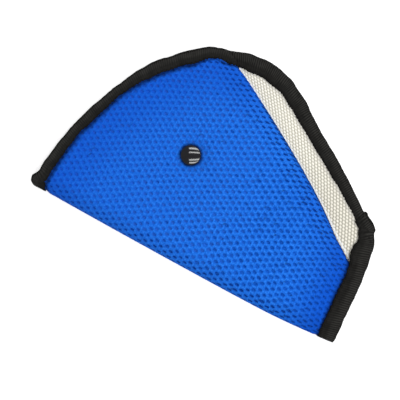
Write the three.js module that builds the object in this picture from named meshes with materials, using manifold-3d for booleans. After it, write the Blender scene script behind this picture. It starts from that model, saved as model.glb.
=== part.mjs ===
// A child's seat belt shoulder pad: a lined air mesh sheet folded in two, bound with ribbed tape and
// closed by one press stud. It lies flat, as laid on a table. Millimetres, +Z up.
//
// Every soft piece is first laid out flat, as it is cut: x runs along the long fold, w across it, with the
// front leaf at w above 0 and the back leaf at w below 0, and depth counts inwards from the mesh's outer
// face. The function foldedPoint then folds, tucks and pinches each point of that flat layout into place.
import * as THREE from "three";
import { mergeVertices } from "three/addons/utils/BufferGeometryUtils.js";
import Module from "manifold-3d";

const wasm = await Module();
wasm.setup();

// Cut of the fabric, half of it: the same outline serves both leaves, mirrored about the fold
const LONG_EDGE = [
  [-11, 0],
  [-12.6, 6],
  [-12.2, 13],
  [-10.8, 26],
  [-8.2, 41],
  [-1.6, 66.5],
  [10, 96],
  [21.7, 118.3],
  [33.5, 131.7],
  [45.2, 143.4],
  [57, 152.2],
  [69, 156],
  [83, 161.5],
  [97.7, 163.3],
  [115.2, 160.4],
  [132.7, 152.4],
  [150, 140.5],
  [179.3, 121.8],
  [202.6, 105],
  [213, 97],
];
const SHORT_EDGE = [
  [221, 91.5],
  [227, 84.5],
  [230.3, 75],
  [232.6, 62],
  [234.5, 44],
  [235.5, 24],
  [236.5, 8],
  [236, 0],
];

// Cloth layers
const MESH_THICK = 2.3;
const LINING_THICK = 0.45;
const LAYER_GAP = 0.25;
const TAPE_THICK = 0.5;
const TAPE_GAP = 0.25;
const PIT_PITCH_X = 4.05;
const PIT_PITCH_W = 4.75;
const PIT_DEPTH = 1.2;
const PIT_CLEARANCE = 1;
const FACE_THICK = 1.6;
const FACE_OVERLAP = 0.2;

// Laid pad
const BELT_GAP = 5.5;
const SHORT_EDGE_GAP = 0.6;
const SHORT_EDGE_PINCH = 0.5;
const CONVERGE_LENGTH = 45;
const FOLD_BOW = 2.875;
const BOW_FADE = 50;
const SHORT_EDGE_LEAN = 0.085;

// Turned edge of the front leaf, in the laid view
const TURN_START = [82, 145.2];
const TURN_END = [219, 60.2];
const TURN_BOW = 2.9;
const TURN_BOW_FADE = 40;
const TURN_GAP = 0.8;
const TURN_MARGIN = 12;

// Binding tapes
const LONG_TAPE_WIDTH = 9.5;
const APEX_SPREAD = 3.5;
const APEX_SPREAD_X = 100;
const APEX_SPREAD_REACH = 32;
const SHORT_TAPE_WIDTH = 12.5;
const SHORT_TAPE_LAP = 12;
const SHORT_TAPE_LAP_RISE = 4;
const SHORT_TAPE_STEP = 3;
const SHORT_TAPE_STEP_LENGTH = 10;
const LONG_TAPE_TUCK = 5;
const TAPE_RECESS_GAP = 0.3;
const INNER_STRIP_WIDTH = 0.6;
const NARROWING_START = 24;
const NARROWING_LENGTH = 10;
const LOWERING_START = 7;
const LOWERING_LENGTH = 5;

// Press stud
const SNAP_X = 80.8;
const SNAP_Y = 72.6;
const CAP_RADIUS = 7.5;
const CAP_HEIGHT = 2.4;
const CAP_RIM_HEIGHT = 0.6;
const CAP_RIM_INSET = 0.3;
const SNAP_LEAF = 1.2;
const SNAP_GAP = 0.3;
const DIMPLE_WIDTH = 9;
const FLANGE_RADIUS = 5.2;
const FLANGE_THICK = 0.9;
const FLANGE_RECESS = 0.3;
const FLANGE_BEVEL = 0.2;
const STUD_BASE_RADIUS = 5.4;
const STUD_BASE_THICK = 0.8;
const STUD_NECK_RADIUS = 2.7;
const STUD_HEAD_RADIUS = 3.2;
const STUD_BORE_RADIUS = 2.3;
const STUD_HEIGHT = 2.0;
const STUD_BEVEL = 0.2;
const STUD_HEAD_THICK = 0.4;
const SOCKET_RADIUS = 5.8;
const SOCKET_CAVITY_RADIUS = 4.3;
const SOCKET_LIP = 0.4;
const SOCKET_ROOF = 0.6;
const SOCKET_SHOULDER = 0.8;
const SOCKET_SHOULDER_DROP = 0.5;
const SPRING_WIRE = 0.6;
const SPRING_MOUTH = 0.7;
const SPRING_REST_GAP = 0.24;
const POST_RADIUS = 1.45;
const POST_BORE_RADIUS = 0.9;
const RIVET_THICK = 0.3;
const RIVET_LAP = 0.25;

const LEAF = MESH_THICK + LAYER_GAP + LINING_THICK;
const THICK = 2 * LEAF + BELT_GAP;
const SHORT_THICK = 2 * LEAF + SHORT_EDGE_GAP;
const TAPE_STAND = TAPE_GAP + TAPE_THICK;
const POST_HOLE_RADIUS = POST_RADIUS + SNAP_GAP;

// Levels of the press stud above the table
const FLANGE_TOP = FLANGE_RECESS + FLANGE_THICK;
const BACK_SEAT = FLANGE_TOP + SNAP_GAP;
const STUD_BASE = BACK_SEAT + SNAP_LEAF + SNAP_GAP;
const STUD_BASE_TOP = STUD_BASE + STUD_BASE_THICK;
const STUD_TOP = STUD_BASE_TOP + STUD_HEIGHT;
const SOCKET_BASE = STUD_BASE_TOP + SNAP_GAP;
const CAVITY_FLOOR = SOCKET_BASE + SOCKET_LIP;
const CAP_RIVET = STUD_TOP + SNAP_GAP;
const CAVITY_ROOF = CAP_RIVET + RIVET_THICK + SNAP_GAP;
const SOCKET_TOP = CAVITY_ROOF + SOCKET_ROOF;
const FRONT_SEAT = SOCKET_TOP + SNAP_GAP;
const CAP_RIM = FRONT_SEAT + SNAP_LEAF + SNAP_GAP;

const OUTLINE_STEP = 7;
const LENGTHS_PER_POINT = 20;
const ROLL_STEP = 3.3;
const BACKING_STEP = 24;
const FINE_STEP = 8.5;
const CONVERGE_STEP = 11.5;
const OVERRUN = 8;
const TURN_OVERRUN = 60;
const TURN_STEP = 20;
const TURN_FACETS = 4;
const FAR = 90;
const ROUND_STEPS = 18;
const DOME_STEPS = 6;
const WIRE_STEPS = 8;
const WELD = 1e-4;
const ON_LINE = 1e-6;

const COLOURS = { blue: 0x1a66e0, beige: 0xe6e0d0, black: 0x2a2a27, gloss: 0x101012, steel: 0xb9bcc0 };

// Easing and mixing

function smooth(value) {
  const u = Math.min(1, Math.max(0, value));
  return u * u * (3 - 2 * u);
}

function mix(a, b, share) {
  return a + (b - a) * share;
}

// Folding: from the flat layout to the laid pad

const turnLength = Math.hypot(TURN_END[0] - TURN_START[0], TURN_END[1] - TURN_START[1]);
const turnAlong = [
  (TURN_END[0] - TURN_START[0]) / turnLength,
  (TURN_END[1] - TURN_START[1]) / turnLength,
];
const turnAcross = [-turnAlong[1], turnAlong[0]];

// How far the leaves have closed up towards the short edge, from 0 to 1, v being the height above the fold
function closing(x, v) {
  const tapeInside = SHORT_EDGE.at(-1)[0] - SHORT_TAPE_WIDTH - SHORT_EDGE_LEAN * v;
  return smooth((x - tapeInside + CONVERGE_LENGTH) / CONVERGE_LENGTH);
}

function topLevel(x, v) {
  return mix(THICK, SHORT_THICK, closing(x, v));
}

function foldRadius(x) {
  return topLevel(x, 0) / 2;
}

// Place across the flat layout of a place at a height above the laid fold
function laidOut(x, y) {
  return y + (Math.PI / 2 - 1) * foldRadius(x);
}

// Depth in a leaf once its middle is pinched towards the short edge
function pinchedDepth(depth, share) {
  return LEAF / 2 + (depth - LEAF / 2) * mix(1, SHORT_EDGE_PINCH, share);
}

// Radius of the turned edge at a place along it, tight enough to pass into the short edge's tape
function turnRadius(along) {
  const x = TURN_START[0] + along * turnAlong[0];
  const y = TURN_START[1] + along * turnAlong[1];
  const share = closing(x, y);
  const open = LEAF + TURN_GAP / 2;
  const shut = pinchedDepth(LEAF, 1) + LAYER_GAP / 2;
  return mix(open, shut, share);
}

// Turns a point of the front leaf under, where it lies past the turned edge
function turnedUnder(x, y, depth) {
  const dx = x - TURN_START[0];
  const dy = y - TURN_START[1];
  const along = dx * turnAlong[0] + dy * turnAlong[1];
  const radius = turnRadius(along);
  const past = dx * turnAcross[0] + dy * turnAcross[1] + radius;
  let across = past;
  let below = depth;
  if (past > Math.PI * radius) {
    across = Math.PI * radius - past;
    below = 2 * radius - depth;
  } else if (past > 0) {
    across = (radius - depth) * Math.sin(past / radius);
    below = radius - (radius - depth) * Math.cos(past / radius);
  }
  const share = Math.min(1, Math.max(0, along / turnLength));
  const bow = TURN_BOW * 4 * share * (1 - share) * (1 - smooth(Math.abs(across) / TURN_BOW_FADE));
  const offset = across - radius + bow;
  return [
    TURN_START[0] + along * turnAlong[0] + offset * turnAcross[0],
    TURN_START[1] + along * turnAlong[1] + offset * turnAcross[1],
    below,
  ];
}

function snapDistance(x, y) {
  return Math.hypot(x - SNAP_X, y - SNAP_Y);
}

function foldedPoint(x, w, depth) {
  const radius = foldRadius(x);
  const rollHalf = (Math.PI / 2) * radius;
  const v = Math.max(0, Math.abs(w) - rollHalf);
  const pinched = pinchedDepth(depth, closing(x, v));
  const front = w > 0;
  let place = [x, radius + v, pinched];
  let level;
  if (v === 0) {
    const reach = radius - pinched;
    place = [x, radius - reach * Math.cos(w / radius)];
    level = radius + reach * Math.sin(w / radius);
  } else {
    if (front) place = turnedUnder(...place);
    const inLeaf = depth / LEAF;
    const seatLevel = front ? FRONT_SEAT + SNAP_LEAF * (1 - inLeaf) : BACK_SEAT + SNAP_LEAF * inLeaf;
    const seatRadius = front ? CAP_RADIUS + SNAP_GAP : SOCKET_RADIUS + SNAP_GAP;
    const dip = 1 - smooth((snapDistance(place[0], place[1]) - seatRadius) / DIMPLE_WIDTH);
    const field = front ? topLevel(place[0], place[1] - radius) - place[2] : place[2];
    level = mix(field, seatLevel, dip);
  }
  const foldShare = Math.min(1, Math.max(0, x / SHORT_EDGE.at(-1)[0]));
  const bow = FOLD_BOW * Math.max(0, 1 - (1 - foldShare) ** 2 - foldShare ** 6);
  const fade = 1 - smooth(place[1] / BOW_FADE);
  return [place[0], place[1] - bow * fade, level];
}

// Solids: closed triangle meshes and their joins and cuts

function closedGeometry(positions, triangles) {
  const geometry = new THREE.BufferGeometry();
  geometry.setAttribute("position", new THREE.Float32BufferAttribute(positions, 3));
  geometry.setIndex(triangles);
  return geometry;
}

function solidOf(geometry) {
  const bare = geometry.clone();
  bare.deleteAttribute("normal");
  bare.deleteAttribute("uv");
  const merged = mergeVertices(bare, WELD);
  const mesh = new wasm.Mesh({
    numProp: 3,
    vertProperties: new Float32Array(merged.attributes.position.array),
    triVerts: new Uint32Array(merged.index.array),
  });
  return new wasm.Manifold(mesh);
}

// A solid's surface with every vertex moved by a function of x, w and depth
function foldedGeometry(solid) {
  const mesh = solid.getMesh();
  const positions = [];
  for (let i = 0; i < mesh.numVert; i += 1) {
    const [x, w, height] = mesh.vertProperties.slice(i * mesh.numProp, i * mesh.numProp + 3);
    positions.push(...foldedPoint(x, w, -height));
  }
  return closedGeometry(positions, [...mesh.triVerts]);
}

// Scores a surface along straight lines of the flat layout, so that it can bend there
function scored(surface, lines) {
  let { positions, triangles } = surface;
  for (const { origin, along } of lines) {
    const side = (i) => {
      const value = (positions[3 * i] - origin[0]) * along[1] - (positions[3 * i + 1] - origin[1]) * along[0];
      return Math.abs(value) < ON_LINE ? 0 : value;
    };
    const cuts = new Map();
    const cut = (i, j) => {
      const key = `${Math.min(i, j)} ${Math.max(i, j)}`;
      if (!cuts.has(key)) {
        const share = side(i) / (side(i) - side(j));
        cuts.set(key, positions.length / 3);
        for (let k = 0; k < 3; k += 1) positions.push(mix(positions[3 * i + k], positions[3 * j + k], share));
      }
      return cuts.get(key);
    };
    const kept = [];
    for (let k = 0; k < triangles.length; k += 3) {
      const corners = triangles.slice(k, k + 3);
      const sides = corners.map(side);
      const turns = [0, 1, 2];
      const lone = turns.find((t) => sides[t] * sides[(t + 1) % 3] < 0 && sides[t] * sides[(t + 2) % 3] < 0);
      const onLine = turns.find((t) => sides[t] === 0 && sides[(t + 1) % 3] * sides[(t + 2) % 3] < 0);
      const [a, b, c] = turns.map((t) => corners[(t + (lone ?? onLine ?? 0)) % 3]);
      if (lone !== undefined) kept.push(a, cut(a, b), cut(c, a), cut(a, b), b, c, cut(a, b), c, cut(c, a));
      else if (onLine !== undefined) kept.push(a, b, cut(b, c), a, cut(b, c), c);
      else kept.push(a, b, c);
    }
    triangles = kept;
  }
  return { positions, triangles };
}

// A slab over a grid of x and w lines, with a depth for each side at each crossing; the diagonals join the
// crossings whose line numbers add up to an odd number
function gridSlab(xs, ws, outerDepth, innerDepth) {
  const positions = [];
  const triangles = [];
  for (const depthAt of [outerDepth, innerDepth])
    for (let j = 0; j < ws.length; j += 1)
      for (let i = 0; i < xs.length; i += 1)
        positions.push(xs[i], ws[j], -depthAt(xs[i], ws[j], (i + j) % 2 === 0));
  const at = (i, j, side) => (side * ws.length + j) * xs.length + i;
  for (let j = 0; j + 1 < ws.length; j += 1)
    for (let i = 0; i + 1 < xs.length; i += 1) {
      const corners = [[i, j], [i + 1, j], [i + 1, j + 1], [i, j + 1]];
      if ((i + j) % 2 === 0) corners.push(corners.shift());
      const [a, b, c, d] = corners.map(([p, q]) => at(p, q, 0));
      triangles.push(a, b, c, a, c, d);
      const [e, f, g, h] = corners.map(([p, q]) => at(p, q, 1));
      triangles.push(e, g, f, e, h, g);
    }
  const lastX = xs.length - 1;
  const lastW = ws.length - 1;
  const wall = (from, to) => {
    const [a, b] = [at(...from, 0), at(...to, 0)];
    const [c, d] = [at(...from, 1), at(...to, 1)];
    triangles.push(a, c, d, a, d, b);
  };
  for (let i = 0; i < lastX; i += 1) {
    wall([i, 0], [i + 1, 0]);
    wall([i + 1, lastW], [i, lastW]);
  }
  for (let j = 0; j < lastW; j += 1) {
    wall([lastX, j], [lastX, j + 1]);
    wall([0, j + 1], [0, j]);
  }
  return { positions, triangles };
}

function slabSolid({ positions, triangles }) {
  return solidOf(closedGeometry(positions, triangles));
}

// A bar swept through stations, each one a ring of [x, w, height] points, closed by flat ends
function sweptGeometry(rings, endTriangles) {
  const size = rings[0].length;
  const positions = rings.flat(2);
  const triangles = [];
  for (let k = 0; k + 1 < rings.length; k += 1)
    for (let i = 0; i < size; i += 1) {
      const next = (i + 1) % size;
      const [a, b] = [k * size + i, k * size + next];
      triangles.push(a, b, b + size, a, b + size, a + size);
    }
  const last = (rings.length - 1) * size;
  for (const [a, b, c] of endTriangles) {
    triangles.push(a, c, b);
    triangles.push(last + a, last + b, last + c);
  }
  return facingOut(positions, triangles);
}

// A closed surface with its faces turned outwards, whichever way its stations ran
function facingOut(positions, triangles) {
  const corner = (index) => new THREE.Vector3().fromArray(positions, 3 * index);
  let volume = 0;
  for (let k = 0; k < triangles.length; k += 3) {
    const [a, b, c] = triangles.slice(k, k + 3).map(corner);
    volume += a.dot(b.cross(c));
  }
  return closedGeometry(positions, volume < 0 ? triangles.reverse() : triangles);
}

// A prism over a flat polygon between two depths
function prism(points, fromDepth, toDepth) {
  const shape = new THREE.Shape(points.map(([x, w]) => new THREE.Vector2(x, w)));
  const geometry = new THREE.ExtrudeGeometry(shape, { depth: toDepth - fromDepth, bevelEnabled: false });
  geometry.translate(0, 0, -toDepth);
  return solidOf(geometry);
}

// Outline of the cut, as evenly spaced points with the inward direction at each

const outlinePoints = [...LONG_EDGE, ...SHORT_EDGE].map(([x, w]) => new THREE.Vector3(x, w, 0));
const outlineCurve = new THREE.CatmullRomCurve3(outlinePoints, false, "centripetal");
outlineCurve.arcLengthDivisions = LENGTHS_PER_POINT * (outlinePoints.length - 1);
const shoulderDistance = outlineCurve.getLengths()[LENGTHS_PER_POINT * LONG_EDGE.length];
const shortTapeEnd = shoulderDistance - SHORT_TAPE_LAP;
const longTapeEnd = shortTapeEnd + LONG_TAPE_TUCK;

// Distances along half the outline, with one at the end of each tape and closer ones on the fold
function outlineDistances() {
  const total = outlineCurve.getLength();
  const rollLeft = (Math.PI / 2) * foldRadius(0);
  const rollRight = (Math.PI / 2) * foldRadius(SHORT_EDGE.at(-1)[0]);
  const spread = (from, to, step) => {
    const count = Math.ceil((to - from) / step);
    return Array.from({ length: count }, (_, k) => mix(from, to, k / count));
  };
  return [
    ...spread(0, rollLeft, ROLL_STEP),
    ...spread(rollLeft, shortTapeEnd, OUTLINE_STEP),
    ...spread(shortTapeEnd, longTapeEnd, OUTLINE_STEP),
    ...spread(longTapeEnd, total - rollRight, OUTLINE_STEP),
    ...spread(total - rollRight, total, ROLL_STEP),
    total,
  ];
}

// Stations of half the outline: the point, and the unit direction into the fabric
function outlineStations() {
  const total = outlineCurve.getLength();
  return outlineDistances().map((distance) => {
    const point = outlineCurve.getPointAt(distance / total);
    const tangent = outlineCurve.getTangentAt(distance / total);
    const atFold = distance === 0 || distance === total;
    if (atFold) tangent.set(0, Math.sign(tangent.y), 0);
    return { x: point.x, w: point.y, inX: tangent.y, inW: -tangent.x, distance };
  });
}

function mirrored({ x, w, inX, inW, distance }) {
  return { x, w: -w, inX, inW: -inW, distance };
}

const stations = outlineStations();

// The flat outline of a cloth layer, drawn in from the binding's outside
function clothOutline(inset) {
  const front = stations.map((s) => [s.x + s.inX * inset, s.w + s.inW * inset]);
  const back = stations.map(mirrored).map((s) => [s.x + s.inX * inset, s.w + s.inW * inset]);
  return [...back.slice(1, -1), ...front.reverse()];
}

// A place of the flat layout at a distance along the turned edge and past the start of its roll
function turnPlace(along, past) {
  const across = past - turnRadius(along);
  const x = TURN_START[0] + along * turnAlong[0] + across * turnAcross[0];
  const y = TURN_START[1] + along * turnAlong[1] + across * turnAcross[1];
  return [x, laidOut(x, y)];
}

// What lies past a distance from the start of the turned edge's roll, given in roll radii and millimetres
function pastTurnPrism(radii, extra, toDepth) {
  const edge = [];
  for (let along = -TURN_OVERRUN; along <= turnLength + TURN_OVERRUN; along += TURN_STEP)
    edge.push(turnPlace(along, radii * turnRadius(along) + extra));
  const far = edge.map(([x, w]) => [x + turnAcross[0] * FAR, w + turnAcross[1] * FAR]);
  return prism([...edge, ...far.reverse()], -OVERRUN, toDepth);
}

// The lines along which a cloth layer is scored for the long fold and for the turned edge
function foldLines() {
  const roll = (Math.PI / 2) * foldRadius(0);
  const long = evenLines(-roll, roll, ROLL_STEP).map((w) => ({ origin: [0, w], along: [1, 0] }));
  const turn = evenLines(0, Math.PI, Math.PI / TURN_FACETS).map((radii) => {
    const [from, to] = [0, turnLength].map((along) => turnPlace(along, radii * turnRadius(along)));
    return { origin: from, along: [to[0] - from[0], to[1] - from[1]] };
  });
  return [...long, ...turn];
}

// Grid lines

function evenLines(from, to, step) {
  const count = Math.ceil((to - from) / step);
  return Array.from({ length: count + 1 }, (_, k) => mix(from, to, k / count));
}

const flatSnapW = laidOut(SNAP_X, SNAP_Y);
const dimpleReach = CAP_RADIUS + SNAP_GAP + DIMPLE_WIDTH;
const rightEnd = SHORT_EDGE.at(-1)[0] + OVERRUN;
const leftEnd = LONG_EDGE[1][0] - OVERRUN;
const farEnd = Math.max(...LONG_EDGE.map(([, w]) => w)) + OVERRUN;

function joinedLines(...runs) {
  return runs.flatMap((run, k) => (k === 0 ? run : run.slice(1)));
}

function backingColumns() {
  const convergeStart = SHORT_EDGE.at(-1)[0] - SHORT_TAPE_WIDTH - CONVERGE_LENGTH - BACKING_STEP;
  return joinedLines(
    evenLines(leftEnd, SNAP_X - dimpleReach, BACKING_STEP),
    evenLines(SNAP_X - dimpleReach, SNAP_X + dimpleReach, FINE_STEP),
    evenLines(SNAP_X + dimpleReach, convergeStart, BACKING_STEP),
    evenLines(convergeStart, rightEnd, CONVERGE_STEP),
  );
}

function backingRows() {
  const roll = (Math.PI / 2) * foldRadius(0);
  const half = joinedLines(
    evenLines(roll, flatSnapW - dimpleReach, BACKING_STEP),
    evenLines(flatSnapW - dimpleReach, flatSnapW + dimpleReach, FINE_STEP),
    evenLines(flatSnapW + dimpleReach, farEnd, BACKING_STEP),
  );
  return [...half.map((w) => -w).reverse(), ...half];
}

function clothSlab(outer, inner) {
  const grid = gridSlab(backingColumns(), backingRows(), () => outer, () => inner);
  return slabSolid(scored(grid, foldLines()));
}

function postHoles() {
  const holes = [flatSnapW, -flatSnapW].map((w) => {
    const hole = new THREE.CylinderGeometry(POST_HOLE_RADIUS, POST_HOLE_RADIUS, 2 * OVERRUN, ROUND_STEPS / 2);
    hole.rotateX(Math.PI / 2);
    hole.translate(SNAP_X, w, 0);
    return solidOf(hole);
  });
  return holes[0].add(holes[1]);
}

function trimmed(slab) {
  const outline = prism(clothOutline(TAPE_STAND), -OVERRUN, LEAF + OVERRUN);
  const margin = pastTurnPrism(Math.PI, TURN_MARGIN, LEAF + OVERRUN);
  return slab.intersect(outline).subtract(margin).subtract(postHoles());
}

// Long binding tape

// Width of the long tape, which spreads over the apex curve of the back leaf
function longTapeWidth(x, w) {
  if (w > 0) return LONG_TAPE_WIDTH;
  return LONG_TAPE_WIDTH + APEX_SPREAD * Math.exp(-(((x - APEX_SPREAD_X) / APEX_SPREAD_REACH) ** 2));
}

// How far past the start of the turned edge's roll a point of the front leaf lies
function pastTurn(x, w) {
  const dx = x - TURN_START[0];
  const dy = w - laidOut(x, TURN_START[1]);
  const radius = turnRadius(dx * turnAlong[0] + dy * turnAlong[1]);
  return dx * turnAcross[0] + dy * turnAcross[1] + radius;
}

function longTapeStations() {
  const back = stations.map(mirrored).filter((s) => s.distance <= longTapeEnd);
  const turnLimit = Math.PI * turnRadius(0);
  const turned = stations.findIndex((s) => s.w > LONG_TAPE_WIDTH && pastTurn(s.x, s.w) > turnLimit);
  return [...stations.slice(1, turned).reverse(), ...back];
}

// The tape's section at a station, as [distance in from the outside, depth] points; its inner strip narrows
// and then drops before the turned edge
function longTapeSection(station) {
  const width = longTapeWidth(station.x, station.w);
  const past = station.w > 0 ? pastTurn(station.x, station.w) : -Infinity;
  const narrowed = smooth((past + NARROWING_START) / NARROWING_LENGTH);
  const lowered = smooth((past + LOWERING_START) / LOWERING_LENGTH);
  const innerWidth = mix(width, INNER_STRIP_WIDTH, narrowed);
  const inside = mix(LEAF + TAPE_GAP, LEAF - TAPE_THICK, lowered);
  return [
    [0, 0],
    [width, 0],
    [width, TAPE_THICK],
    [TAPE_THICK, TAPE_THICK],
    [TAPE_THICK, inside],
    [innerWidth, inside],
    [innerWidth, inside + TAPE_THICK],
    [0, inside + TAPE_THICK],
  ];
}

const U_SECTION_ENDS = [[0, 1, 2], [0, 2, 3], [0, 3, 4], [0, 4, 7], [4, 5, 6], [4, 6, 7]];
const BAR_ENDS = [[0, 1, 2], [0, 2, 3]];

// Rings of a section carried along stations, still flat
function flatRings(path, sectionAt) {
  return path.map((s) =>
    sectionAt(s).map(([inwards, depth]) => [s.x + s.inX * inwards, s.w + s.inW * inwards, -depth]),
  );
}

function longBinding() {
  const rings = flatRings(longTapeStations(), longTapeSection);
  const folded = rings.map((ring) => ring.map(([x, w, height]) => foldedPoint(x, w, -height)));
  return sweptGeometry(folded, U_SECTION_ENDS);
}

// The recess pressed into the mesh's outer face, in which the tape lies flush
function tapeRecess() {
  const rings = flatRings(longTapeStations(), (s) => {
    const width = longTapeWidth(s.x, s.w) + TAPE_RECESS_GAP;
    return [
      [-OVERRUN / 2, -OVERRUN],
      [width, -OVERRUN],
      [width, TAPE_STAND],
      [-OVERRUN / 2, TAPE_STAND],
    ];
  });
  return solidOf(sweptGeometry(rings, BAR_ENDS));
}

// Mesh sheet and lining

// Whether a place of the front leaf lies bare, clear of the press stud's cap and of the long tape
function bareMesh(x, w) {
  if (Math.hypot(x - SNAP_X, w - flatSnapW) < CAP_RADIUS + PIT_CLEARANCE) return false;
  const tape = LONG_TAPE_WIDTH + PIT_PITCH_X / 2;
  return !stations.some((s) => Math.hypot(x - s.x, Math.abs(w) - s.w) < tape);
}

// Pits of the mesh's face: all over the front leaf and the fold
function pitDepth(x, w, even) {
  const roll = (Math.PI / 2) * foldRadius(x);
  return even && w > -roll && bareMesh(x, w) ? PIT_DEPTH : 0;
}

// The pitted part of the face, from the long fold to the start of the turned edge's roll
function pittedFace() {
  const columns = evenLines(leftEnd, rightEnd, PIT_PITCH_X);
  const rows = evenLines(-(Math.PI / 2) * foldRadius(0), farEnd, PIT_PITCH_W / 2);
  const face = slabSolid(gridSlab(columns, rows, pitDepth, () => FACE_THICK + FACE_OVERLAP));
  return face.subtract(pastTurnPrism(0, 0, MESH_THICK));
}

// The sheet is plain on the back leaf and past the turned edge, and pitted between
function meshShell() {
  const near = FACE_OVERLAP - (Math.PI / 2) * foldRadius(0);
  const pitted = [
    [leftEnd + FACE_OVERLAP, near],
    [rightEnd - FACE_OVERLAP, near],
    [rightEnd - FACE_OVERLAP, farEnd - FACE_OVERLAP],
    [leftEnd + FACE_OVERLAP, farEnd - FACE_OVERLAP],
  ];
  const bed = prism(pitted, -OVERRUN, FACE_THICK).subtract(pastTurnPrism(0, -FACE_OVERLAP, MESH_THICK));
  const sheet = clothSlab(0, MESH_THICK).subtract(bed).add(pittedFace());
  return foldedGeometry(trimmed(sheet).subtract(tapeRecess()));
}

function lining() {
  return foldedGeometry(trimmed(clothSlab(MESH_THICK + LAYER_GAP, LEAF)));
}

// Short edge's tape, wrapped over both leaves and lapped over the long tape at the shoulder

function shortTapeStations() {
  return stations.filter((s) => s.distance >= shortTapeEnd).reverse();
}

// Top of the short tape: over both leaves below the turned edge, over the back leaf alone above it
function shortTapeTop(y) {
  const single = pinchedDepth(LEAF + TAPE_STAND, 1) + TAPE_STAND;
  const past = y - TURN_END[1] - SHORT_TAPE_STEP;
  return mix(SHORT_THICK, single, smooth(past / SHORT_TAPE_STEP_LENGTH));
}

function shortBinding() {
  const rings = shortTapeStations().map((s) => {
    const [x, y] = foldedPoint(s.x, -s.w, 0);
    const [inX, inY] = [s.inX, s.inW];
    const lapped = smooth((s.w - SHORT_EDGE[1][1]) / SHORT_TAPE_LAP_RISE) * TAPE_STAND;
    const top = shortTapeTop(y);
    const section = [
      [-lapped, 0],
      [SHORT_TAPE_WIDTH, 0],
      [SHORT_TAPE_WIDTH, TAPE_THICK],
      [TAPE_THICK - lapped, TAPE_THICK],
      [TAPE_THICK - lapped, top - TAPE_THICK],
      [SHORT_TAPE_WIDTH, top - TAPE_THICK],
      [SHORT_TAPE_WIDTH, top],
      [-lapped, top],
    ];
    return section.map(([inwards, level]) => [x + inX * inwards, y + inY * inwards, level]);
  });
  return sweptGeometry(rings, U_SECTION_ENDS);
}

// Press stud

// A profile of [radius, level] points turned about the press stud's middle line
function turned(profile) {
  const points = profile.map(([radius, level]) => new THREE.Vector2(radius, level));
  const geometry = new THREE.LatheGeometry([...points, points[0]], ROUND_STEPS);
  geometry.rotateX(Math.PI / 2);
  return geometry;
}

function snapCap() {
  const dome = Array.from({ length: DOME_STEPS + 1 }, (_, k) => {
    const angle = (k / DOME_STEPS) * (Math.PI / 2);
    const rise = (CAP_HEIGHT - CAP_RIM_HEIGHT) * Math.sin(angle);
    return [CAP_RADIUS * Math.cos(angle), CAP_RIM + CAP_RIM_HEIGHT + rise];
  });
  return turned([
    [0, CAP_RIM],
    [0, CAP_RIVET],
    [POST_HOLE_RADIUS + RIVET_LAP, CAP_RIVET],
    [POST_HOLE_RADIUS + RIVET_LAP, CAP_RIVET + RIVET_THICK],
    [POST_RADIUS, CAP_RIVET + RIVET_THICK],
    [POST_RADIUS, CAP_RIM],
    [CAP_RADIUS - CAP_RIM_INSET, CAP_RIM],
    ...dome,
  ]);
}

function snapSocket() {
  const mouth = STUD_HEAD_RADIUS + SNAP_GAP;
  return turned([
    [mouth, SOCKET_BASE],
    [SOCKET_RADIUS, SOCKET_BASE],
    [SOCKET_RADIUS, SOCKET_TOP - SOCKET_SHOULDER_DROP],
    [SOCKET_RADIUS - SOCKET_SHOULDER, SOCKET_TOP],
    [POST_HOLE_RADIUS, SOCKET_TOP],
    [POST_HOLE_RADIUS, CAVITY_ROOF],
    [SOCKET_CAVITY_RADIUS, CAVITY_ROOF],
    [SOCKET_CAVITY_RADIUS, CAVITY_FLOOR],
    [mouth, CAVITY_FLOOR],
  ]);
}

// The open ring of wire that grips the stud's neck
function snapSpring() {
  const radius = STUD_NECK_RADIUS + SNAP_GAP + SPRING_WIRE / 2;
  const level = CAVITY_FLOOR + SPRING_REST_GAP + SPRING_WIRE / 2;
  const rings = Array.from({ length: ROUND_STEPS + 1 }, (_, k) => {
    const angle = SPRING_MOUTH / 2 + (k / ROUND_STEPS) * (2 * Math.PI - SPRING_MOUTH);
    return Array.from({ length: WIRE_STEPS }, (__, i) => {
      const turn = (i / WIRE_STEPS) * 2 * Math.PI;
      const out = radius + (SPRING_WIRE / 2) * Math.cos(turn);
      return [out * Math.cos(angle), out * Math.sin(angle), level + (SPRING_WIRE / 2) * Math.sin(turn)];
    });
  });
  const ends = Array.from({ length: WIRE_STEPS - 2 }, (_, i) => [0, i + 1, i + 2]);
  return sweptGeometry(rings, ends);
}

function snapStud() {
  return turned([
    [POST_HOLE_RADIUS, STUD_BASE],
    [STUD_BASE_RADIUS, STUD_BASE],
    [STUD_BASE_RADIUS, STUD_BASE_TOP - STUD_BEVEL],
    [STUD_BASE_RADIUS - STUD_BEVEL, STUD_BASE_TOP],
    [STUD_NECK_RADIUS, STUD_BASE_TOP],
    [STUD_NECK_RADIUS, STUD_TOP - STUD_HEAD_THICK - STUD_BEVEL],
    [STUD_HEAD_RADIUS, STUD_TOP - STUD_HEAD_THICK],
    [STUD_HEAD_RADIUS, STUD_TOP - STUD_BEVEL],
    [STUD_HEAD_RADIUS - STUD_BEVEL, STUD_TOP],
    [STUD_BORE_RADIUS, STUD_TOP],
    [STUD_BORE_RADIUS, STUD_BASE_TOP],
    [POST_HOLE_RADIUS, STUD_BASE_TOP],
  ]);
}

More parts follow.
